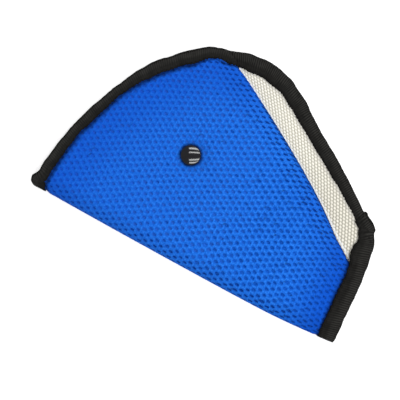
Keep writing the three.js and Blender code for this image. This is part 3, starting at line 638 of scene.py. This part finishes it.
def sheet_piece(name, first_v, last_v, front, seed):
    """One leaf of the mesh: round each hole a tile border, then rings down its wall and its floor."""
    random = np.random.default_rng(seed)
    u, v = hole_centres(first_v, last_v, front)
    border_u, border_v, border = tile_borders(u, v)
    border_x, border_w = lattice_place(border_u, border_v)
    x, w = lattice_place(u, v)
    count = len(x)

    # The holes are small and soft at the left and open at the right, and flatter towards the turned edge.
    # Along the folds and at the apex they are squeezed to slits, dark with painted shade.
    opening = rise(x, 60, 170)
    size = (0.86 + 0.14 * opening) * (1 + 0.07 * random.standard_normal(count))
    flat, slit = np.zeros(count), fade(np.abs(w), 7, 15)
    if front:
        past, _ = past_turn(x, w)
        flat = np.maximum(rise(past, -26, 0), rise(x, 172, 212))
        slit = np.maximum.reduce([slit, rise(past, -15, 0), apex(x) * fade(to_tape(x, w), 0, 10)])
    shift = 0.12 * random.standard_normal((count, 2))
    tilt = mix(HOLE_TILT - 0.06 * flat, SLIT_TILT, slit) + 0.09 * random.standard_normal(count)
    long_size = HOLE_LONG * size * (1 + 0.10 * flat + 0.06 * slit)
    short_size = HOLE_SHORT * size * (1 - 0.20 * flat - 0.16 * slit)
    # How much painted shade each hole takes: more at the right, beside the short tape, at the apex and in
    # slits
    beside = rise(x, 185, 215) + (apex(x) if front else 0)
    dark = 0.25 + 0.48 * (opening if front else 1) + 0.17 * beside + 0.72 * slit
    dark = np.clip(dark + 0.13 * random.standard_normal(count), 0.2, 1.25)
    middle_x, middle_w = x + shift[:, 0], w + shift[:, 1]

    xs, ws = [border_x], [border_w]
    depths, pits = [np.full(len(border_x), BORDER_DEPTH)], [np.full(len(border_x), BORDER_PIT)]
    rings, total = [border], len(border_x)
    for wide, high, depth, pit in HOLE_RINGS:
        across = wide * long_size[:, None] * np.cos(TILE_ANGLE)
        up = high * short_size[:, None] * np.sin(TILE_ANGLE)
        cos, sin = np.cos(tilt)[:, None], np.sin(tilt)[:, None]
        xs.append((middle_x[:, None] + across * cos - up * sin).ravel())
        ws.append((middle_w[:, None] + across * sin + up * cos).ravel())
        depths.append(np.full(count * SIDES, depth))
        pits.append(np.repeat(pit * dark, SIDES))
        rings.append(total + np.arange(count * SIDES).reshape(count, SIDES))
        total += count * SIDES
    middle = total + np.arange(count)
    quads, fans = [], []
    for k in range(SIDES):
        m = (k + 1) % SIDES
        quads += [np.stack([outer[:, k], outer[:, m], inner[:, m], inner[:, k]], 1)
                  for outer, inner in zip(rings, rings[1:])]
        fans.append(np.stack([rings[-1][:, k], rings[-1][:, m], middle], 1))
    x, w = np.concatenate([*xs, middle_x]), np.concatenate([*ws, middle_w])
    depth = np.concatenate([*depths, np.full(count, FLOOR_DEPTH)]) + tape_press(x, w)
    pit = np.concatenate([*pits, dark])
    points = laid(x, w, depth)
    faces = [np.vstack(quads), np.vstack(fans)]
    values = {"pit": 0.5 + 0.4 * pit, "shade": mesh_shade(x, w, points, front), "near": tape_falloff_shade(x, w)}
    return new_mesh(name, points, faces, MESH_CLOTH, np.stack([x, w], 1), values)


mesh_front = sheet_piece("air_mesh_front", -2 * PITCH_W, SHEET_FAR, True, 3)
mesh_back = sheet_piece("air_mesh_back", -SHEET_FAR, -2 * PITCH_W, False, 4)


# Lining: grains of the weave are raised where the lining shows

LINING_LEFT, LINING_RIGHT, LINING_FAR, LINING_STEP, FINE_PARTS = -16, 244, 172, 1.4, 5
LINING_DEPTH, GRAIN_HEIGHT = 2.85, 0.32
# The weave, in the picture's right and down: its middle, its two rates for each millimetre, and their
# change, as scratch measurements of the photo gave them
WEAVE_TURN, WEAVE_MIDDLE, WEAVE_REACH = math.radians(27.9), (160.4, 103.7), 90
WEAVE = [((0.4623, -0.0165), (-0.000587, -0.000125, 0.001011)),
         ((0.3265, -0.4116), (-0.000563, -0.000062, 0.001146))]
GRAIN_COS, GRAIN_SIN, GRAIN_SHORT, GRAIN_LONG = 0.91, 0.41, 0.88, 1.42


def grain_height(x, w):
    """Height from 0 to 1 of the lining's oval grains."""
    dx, dy = x - WEAVE_MIDDLE[0], np.abs(w) - QUARTER_EXTRA * THICK / 2 - WEAVE_MIDDLE[1]
    right = dx * math.cos(WEAVE_TURN) + dy * math.sin(WEAVE_TURN)
    down = dx * math.sin(WEAVE_TURN) - dy * math.cos(WEAVE_TURN)
    far = np.clip(np.hypot(right, down) / WEAVE_REACH, 1, None)
    off = []
    for (a, b), (aa, ab, bb) in WEAVE:
        phase = a * right + b * down + (0.5 * aa * right**2 + ab * right * down + 0.5 * bb * down**2) / far
        off.append(phase - np.round(phase))
    steps = np.linalg.inv([rates for rates, _ in WEAVE]).T
    best = np.zeros_like(right)
    for i in (-1, 0, 1):
        for j in (-1, 0, 1):
            p, q = [(off[0] + i) * steps[0][k] + (off[1] + j) * steps[1][k] for k in (0, 1)]
            a, b = GRAIN_COS * p - GRAIN_SIN * q, GRAIN_COS * q + GRAIN_SIN * p
            best = np.maximum(best, 1 - (a / GRAIN_SHORT) ** 2 - (b / GRAIN_LONG) ** 2)
    return np.clip(best, 0, 1) ** 0.65


def cell_grids(x0, w0, parts, first):
    """Points and faces of square cells, each split into parts by parts, with indices that start at first."""
    k = np.arange(parts + 1) * LINING_STEP / parts
    shape = (len(x0), parts + 1, parts + 1)
    x = np.broadcast_to(x0[:, None, None] + k, shape)
    w = np.broadcast_to(w0[:, None, None] + k[:, None], shape)
    base = first + np.arange(len(x0))[:, None, None] * (parts + 1) ** 2
    faces = (base + grid_faces(parts + 1, parts + 1)).reshape(-1, 4)
    return np.stack([x.ravel(), w.ravel()], 1), faces


def lining_piece():
    half = LINING_STEP / 2
    x, w = np.meshgrid(np.arange(LINING_LEFT, LINING_RIGHT, LINING_STEP) + half,
                       np.arange(-LINING_FAR, LINING_FAR, LINING_STEP) + half)
    past, radius = past_turn(x, np.abs(w))
    keep = (inside_cut(x, w) > LINING_MARGIN) & ((w < 0) | (past < math.pi * radius + TURN_MARGIN))
    seen = keep & (w < -40) & (past > -2)
    coarse = keep & ~seen
    points, faces = cell_grids(x[coarse] - half, w[coarse] - half, 1, 0)
    fine_points, fine_faces = cell_grids(x[seen] - half, w[seen] - half, FINE_PARTS, len(points))
    points, faces = np.vstack([points, fine_points]), np.vstack([faces, fine_faces])
    keys = np.round(points / (LINING_STEP / FINE_PARTS)).astype(int)
    _, first, index = np.unique(keys, axis=0, return_index=True, return_inverse=True)
    points, faces = points[first], index.ravel()[faces]
    x, w = points.T
    grain = grain_height(x, w)
    depth = LINING_DEPTH + GRAIN_HEIGHT * grain - 0.35 * tape_press(x, w)
    along, across = from_turn(x, np.abs(w))
    # Light from the turned edge whitens a line of the lining just beyond it
    beyond = np.abs(across - turn_bow(along) - 0.75)
    values = {"grain": grain, "shade": tape_shade(x, w), "pale": np.where(w < 0, fade(beyond, 0, 1.1), 0)}
    return new_mesh("lining_cloth", laid(x, w, depth), [faces[:, ::-1]], LINING_CLOTH, points, values)


lining = lining_piece()


# Binding tapes

# The ribs' pitch and their slant from square, as the photo shows them on each tape
RIBS_LONG, RIBS_SHORT = (1.64, -0.14), (1.70, -0.14)
RIM_RADIUS, LIP, TAPE_THICKNESS = 1.3, 0.12, 0.2
STITCH_POINTS, STITCH_PITCH, STITCH_SIDES, STITCH_RADIUS = 9, 11, 6, 0.24


def stations_of(line, step=0.34):
    """Even stations of a flat line with the unit direction to its left, smoothed."""
    length = lengths(line)
    at = np.arange(0, length[-1], step)
    p = points_at(line, length, at)
    t = np.gradient(p, axis=0)
    t = np.stack([even(t[:, k], 9) for k in range(2)], 1)
    t /= np.linalg.norm(t, axis=1, keepdims=True)
    return at, p, np.stack([t[:, 1], -t[:, 0]], 1)


def tape_section(width, low, high):
    """A U-shaped section's points for every station: how far in from the fabric's edge, and how deep."""
    top = [width * (1 - k / 9) for k in range(9)]
    inwards = [width, width + LIP, *top]
    depth = [low + 0.45, low + TAPE_THICKNESS, *[low] * len(top)]
    for angle in np.linspace(0, math.pi, 9):
        inwards.append(np.full_like(width, RIM_RADIUS * (1 - math.sin(angle))))
        depth.append(low + (high - low) * (1 - math.cos(angle)) / 2)
    bottom = [width * k / 4 for k in range(1, 5)]
    inwards += [*bottom, width + LIP]
    depth += [*[high] * len(bottom), high - 0.25]
    return np.stack(inwards, 1), np.stack(depth, 1)


def rib_wave(at, skew, pitch):
    """Height from 0 to 1 of the tape's ribs at a distance along it."""
    drift = 0.12 * waves(at, 21, 60)
    return 0.5 + 0.5 * np.cos(2 * math.pi * (at + drift + skew) / pitch)


def tape_piece(name, stations, width, low, high, seed, mapping, ribs, turned=False, crease=None):
    """A tape folded over an edge: a U-shaped section swept along stations, and its stitches."""
    at, p, n = stations
    width = width + 0.24 * waves(at, seed, 17) + 0.34 * waves(at, seed + 1, 4.0)
    inwards, depth = tape_section(width, low, high)
    share = np.clip(inwards / width[:, None], 0, 1)
    across = inwards + 0.26 * waves(at, seed + 2, 21)[:, None]
    pitch, lean = ribs
    rib = rib_wave(at[:, None], lean * inwards, pitch)
    puff = 0.22 * np.sin(share * math.pi) * (depth < (low + high)[:, None] / 2)
    lump = 0.14 * waves(at, seed + 3, 15)[:, None] * np.sin(share * math.pi)
    groove = np.zeros_like(inwards)
    if crease is not None:
        centre, strength = crease
        groove = strength[:, None] * np.exp(-((inwards - centre[:, None]) / 0.6) ** 2)
    outwards = np.sign(0.5 * (low + high)[:, None] - depth)
    depth = depth - outwards * (0.12 * rib + puff + lump - 0.7 * groove)
    x = p[:, :1] + n[:, :1] * across
    w = p[:, 1:] + n[:, 1:] * across
    points = mapping(x, w, depth)
    points[..., 2] = np.maximum(points[..., 2], LOWEST)
    uv = np.stack([np.broadcast_to(at[:, None], x.shape).ravel(), (inwards - depth).ravel()], 1)
    past, radius = past_turn(x, w if turned else np.full_like(w, BACK_LEAF))
    # Painted shade where the tape turns under with the front leaf: darker, with its ribs flattened
    turned_tape_shade = rise(past, 0.45 * radius, 0.80 * radius)
    # On the front leaf the ribs' painted shade is fainter
    faint = np.maximum(turned_tape_shade, 0.40 * (turned & (w > 0)))
    # across also carries painted shade: of the turned-under tape and of the crease
    values = {"rib": mix(rib, 0.55, faint).ravel(),
              "across": np.maximum.reduce([share, 0.55 * turned_tape_shade, groove]).ravel()}
    tape = new_mesh(name, points.reshape(-1, 3), [grid_faces(*x.shape)], TAPE_CLOTH, uv, values)
    return tape, stitches(name + "_stitches", [points[:, 3], mix(points[:, -3], points[:, -2], 0.5)])


def stitches(name, lines):
    """Sewing thread along lines of surface points: short tapered stitches whose ends sink in."""
    points, faces = [], []
    turn = np.linspace(0, 2 * math.pi, STITCH_SIDES, endpoint=False)[:, None]
    taper = np.sin(np.linspace(0.2, math.pi - 0.2, STITCH_POINTS))[:, None, None] ** 0.6
    tube = grid_faces(STITCH_POINTS, STITCH_SIDES, closed=True)
    for line in lines:
        for start in range(5, len(line) - 12, STITCH_PITCH):
            part = line[start:start + STITCH_POINTS]
            ahead = (part[-1] - part[0]) / np.linalg.norm(part[-1] - part[0])
            side = np.cross(ahead, (0, 0, 1))
            side /= np.linalg.norm(side)
            ring = np.cos(turn) * side + 0.7 * np.sin(turn) * np.cross(side, ahead)
            faces.append(STITCH_POINTS * STITCH_SIDES * len(points) + tube)
            points.append((part[:, None] + STITCH_RADIUS * taper * ring).reshape(-1, 3))
    points = np.vstack(points)
    points[:, 2] = np.maximum(points[:, 2], LOWEST)
    return new_mesh(name, points, [np.vstack(faces)], THREAD)


def long_tape():
    """The long tape: down the front leaf's left edge, round the corner and along the whole back leaf."""
    half = np.vstack([LEFT_CORNER, long_line])
    past, radius = past_turn(half[:, 0], half[:, 1])
    stop = np.argmax((half[:, 1] > 60) & (past > math.pi * radius + 1.0))
    at, p, n = stations_of(np.vstack([half[:stop][::-1], half[1:] * (1, -1)]))
    in_front = p[:, 1] > 0
    mirrored = p * (1, -1)
    width_back = np.where(p[:, 0] < 84, nearest(mirrored, inner_front), nearest(mirrored, inner_back))
    width = even(np.where(in_front, nearest(p, inner_front), width_back), 12) - 0.65
    # The tape is thinner where it turns under with the front leaf
    past, _ = past_turn(p[:, 0], np.where(in_front, p[:, 1], BACK_LEAF))
    high = LEAF + mix(0.55, 0.1, rise(past, -9, -3) * in_front)
    low = np.full_like(width, -0.05)
    return tape_piece("long_tape", (at, p, -n), width, low, high, 31, laid, RIBS_LONG, turned=True)


def short_tape():
    """The short edge's tape, over both leaves, and beyond the turned edge over the back leaf alone."""
    at, p, n = stations_of(np.vstack([short_line, (RIGHT_END, -1.0)]))

    def wrapped(x, w, depth):
        place = laid(x, -w, 0 * x)
        return np.stack([place[..., 0], place[..., 1], -depth], -1)

    y = laid(p[:, 0], -p[:, 1], 0)[:, 1]
    both_leaves, one_leaf = SHORT_THICK + 0.1, LEAF + 0.6
    top = mix(both_leaves, one_leaf, rise(y, TURN_END[1] + 1, TURN_END[1] + 13))
    width = even(nearest(p, inner_short), 10) + mix(0.3, 1.1, rise(y, 55, 65))
    # The tape's folded end leaves a crease that runs out at the shoulder, darkened with painted shade
    crease = np.interp(at, [9, 20, 29, 40], [7.7, 5.1, 1.9, 0.5]), rise(at, 7, 11) * fade(at, 28, 36)
    low, high = -(top + TAPE_THICKNESS), np.full_like(width, 0.05)
    return tape_piece("short_tape", (at, p, n), width, low, high, 51, wrapped, RIBS_SHORT, crease=crease)


long_piece, long_stitches = long_tape()
short_piece, short_stitches = short_tape()


# Press stud

def lathe(name, profile, material, steps):
    """A profile of [radius, level] points turned about the press stud's middle line."""
    profile = np.array(profile, float)
    turn = np.linspace(0, 2 * math.pi, steps, endpoint=False)
    x = SNAP[0] + profile[:, :1] * np.cos(turn)
    y = SNAP[1] + profile[:, :1] * np.sin(turn)
    z = np.broadcast_to(profile[:, 1:], x.shape)
    faces = grid_faces(len(profile), steps, closed=True)
    return new_mesh(name, np.stack([x, y, z], -1).reshape(-1, 3), [faces], material)


def cap_piece():
    """A shallow sphere down to a tightly rounded edge, which meet at the same slope, and a flat underside."""
    sphere, edge = 20.0, 1.2
    meet = math.asin((CAP_RADIUS - edge) / (sphere - edge))
    dome = [(sphere * math.sin(a), CAP_TOP - sphere * (1 - math.cos(a))) for a in np.linspace(0, meet, 18)]
    level = dome[-1][1] - edge * math.cos(meet)
    dome += [(CAP_RADIUS - edge + edge * math.sin(a), level + edge * math.cos(a))
             for a in np.linspace(meet, math.pi / 2, 12)[1:]]
    rim = [(CAP_RADIUS - 0.05, CAP_RIM + 0.08), (CAP_RADIUS - 0.3, CAP_RIM), (1.5, CAP_RIM)]
    return lathe("cap_dome", [(0.0001, CAP_TOP), *dome[1:], *rim][::-1], GLOSS, 96)


cap = cap_piece()
snap_finish = {"snap_socket": STEEL, "snap_spring": STEEL, "snap_stud": STEEL, "snap_post": BLACK_METAL}
for node, material in snap_finish.items():
    mesh = frame["nodes"][node].data
    mesh.materials.clear()
    mesh.materials.append(material)


# Frame: what each piece stands for and rides on

for piece, nodes, slot in (
    (mesh_front, ["mesh_shell"], "air_mesh"),
    (mesh_back, ["mesh_shell"], "air_mesh"),
    (lining, ["lining"], "lining_cloth"),
    (long_piece, ["long_binding"], "binding_tape"),
    (short_piece, ["short_edge_binding"], "binding_tape"),
    (long_stitches, ["long_binding"], "binding_tape"),
    (short_stitches, ["short_edge_binding"], "binding_tape"),
    (cap, ["snap_cap"], "cap_plastic"),
):
    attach(piece, "root")
    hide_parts(*nodes)


# Floor, light and camera, in metres

FLOOR_HALF, FLOOR_LEVEL, FLOOR_GLOW = 6.0, -0.0003, 0.46
AMBIENT, GLOSSY_AMBIENT = 0.69, 0.27
CAMERA_TURN = math.radians(27.99)
VIEW_RIGHT = np.array([math.cos(CAMERA_TURN), math.sin(CAMERA_TURN), 0])
VIEW_UP = np.array([-math.sin(CAMERA_TURN), math.cos(CAMERA_TURN), 0])
VIEW_CENTRE, VIEW_WIDTH = np.array([101.95 - MIDDLE[0], 47.06 - MIDDLE[1], 0]) / 1000, 0.29040
CAMERA_DISTANCE, CAMERA_TARGET, SENSOR = 1.2, 0.008, 36.0
# Each strip lamp's place up the picture and its width
STRIPS = [(0.590, 0.155), (0.238, 0.100), (-0.335, 0.115), (-0.600, 0.125)]
STRIP_RIGHT, STRIP_LENGTH, STRIP_HEIGHT, STRIP_RADIANCE, STRIP_TARGET = 0.345, 1.05, 1.0, 7.2, 0.011


def floor():
    """A pale floor that glows only where it is looked at, so that it is white round its shadows."""
    corners = [(x * FLOOR_HALF, y * FLOOR_HALF, FLOOR_LEVEL) for x, y in ((-1, -1), (1, -1), (1, 1), (-1, 1))]
    mesh = bpy.data.meshes.new("floor")
    mesh.from_pydata(corners, [], [(0, 1, 2, 3)])
    plane = new_object("floor", mesh)
    n = material_nodes("floor")
    path = n.add("ShaderNodeLightPath")
    mirrored = n.math("MAXIMUM", path.outputs["Is Glossy Ray"], path.outputs["Is Transmission Ray"])
    seen = n.math("MAXIMUM", path.outputs["Is Camera Ray"], mirrored)
    glow = n.math("MULTIPLY", seen, FLOOR_GLOW)
    mesh.materials.append(n.set(Base_Color=(0.86, 0.86, 0.86), Roughness=0.9, Specular_IOR_Level=0.1,
                                Emission_Color=(1, 1, 1), Emission_Strength=glow))


def world():
    """White to the camera and to mirrored rays near the horizon, else ambient, and dimmer to glossy rays."""
    n = Nodes(bpy.data.worlds.new("studio"))
    bpy.context.scene.world = n.owner
    n.tree.nodes.clear()
    path = n.add("ShaderNodeLightPath")
    direction = n.add("ShaderNodeTexCoord").outputs["Generated"]
    up = n.add("ShaderNodeSeparateXYZ", {"Vector": direction}).outputs["Z"]
    mirrored = n.math("MAXIMUM", path.outputs["Is Glossy Ray"], path.outputs["Is Transmission Ray"])
    low = n.math("MULTIPLY", mirrored, n.map(up, 0.35, 0.12))
    seen = n.math("MAXIMUM", path.outputs["Is Camera Ray"], low)
    ambient = n.map(path.outputs["Is Glossy Ray"], 0, 1, AMBIENT, GLOSSY_AMBIENT)
    background = n.add("ShaderNodeBackground", {"Strength": n.map(seen, 0, 1, ambient, 1.0)})
    n.add("ShaderNodeOutputWorld", {"Surface": background.outputs[0]})


def strip(name, up, width):
    """A long soft lamp parallel to the picture's horizontal, aimed at the press stud."""
    target = np.array([*(SNAP - MIDDLE) / 1000, STRIP_TARGET])
    place = target + VIEW_UP * up + VIEW_RIGHT * STRIP_RIGHT + np.array([0, 0, STRIP_HEIGHT])
    light = bpy.data.lights.new(name, "AREA")
    light.shape, light.size, light.size_y = "RECTANGLE", STRIP_LENGTH, width
    light.energy = STRIP_RADIANCE * math.pi * STRIP_LENGTH * width
    lamp = new_object(name, light)
    back = (place - target) / np.linalg.norm(place - target)
    side = VIEW_RIGHT - back * (VIEW_RIGHT @ back)
    side /= np.linalg.norm(side)
    axes = np.stack([side, np.cross(back, side), back, place], axis=1)
    lamp.matrix_world = Matrix([*axes.tolist(), [0, 0, 0, 1]])
    lamp.visible_camera = False


def camera():
    data = bpy.data.cameras.new("camera")
    data.sensor_width, data.lens = SENSOR, SENSOR * CAMERA_DISTANCE / VIEW_WIDTH
    data.clip_start, data.clip_end = 0.01, 20
    cam = new_object("camera", data)
    cam.location = VIEW_CENTRE + np.array([0, 0, CAMERA_DISTANCE + CAMERA_TARGET])
    cam.rotation_euler = (0, 0, CAMERA_TURN)
    bpy.context.scene.camera = cam


floor()
world()
for k, (up, width) in enumerate(STRIPS):
    strip(f"strip_{k}", up, width)
camera()
bpy.context.scene.view_settings.view_transform = "Standard"
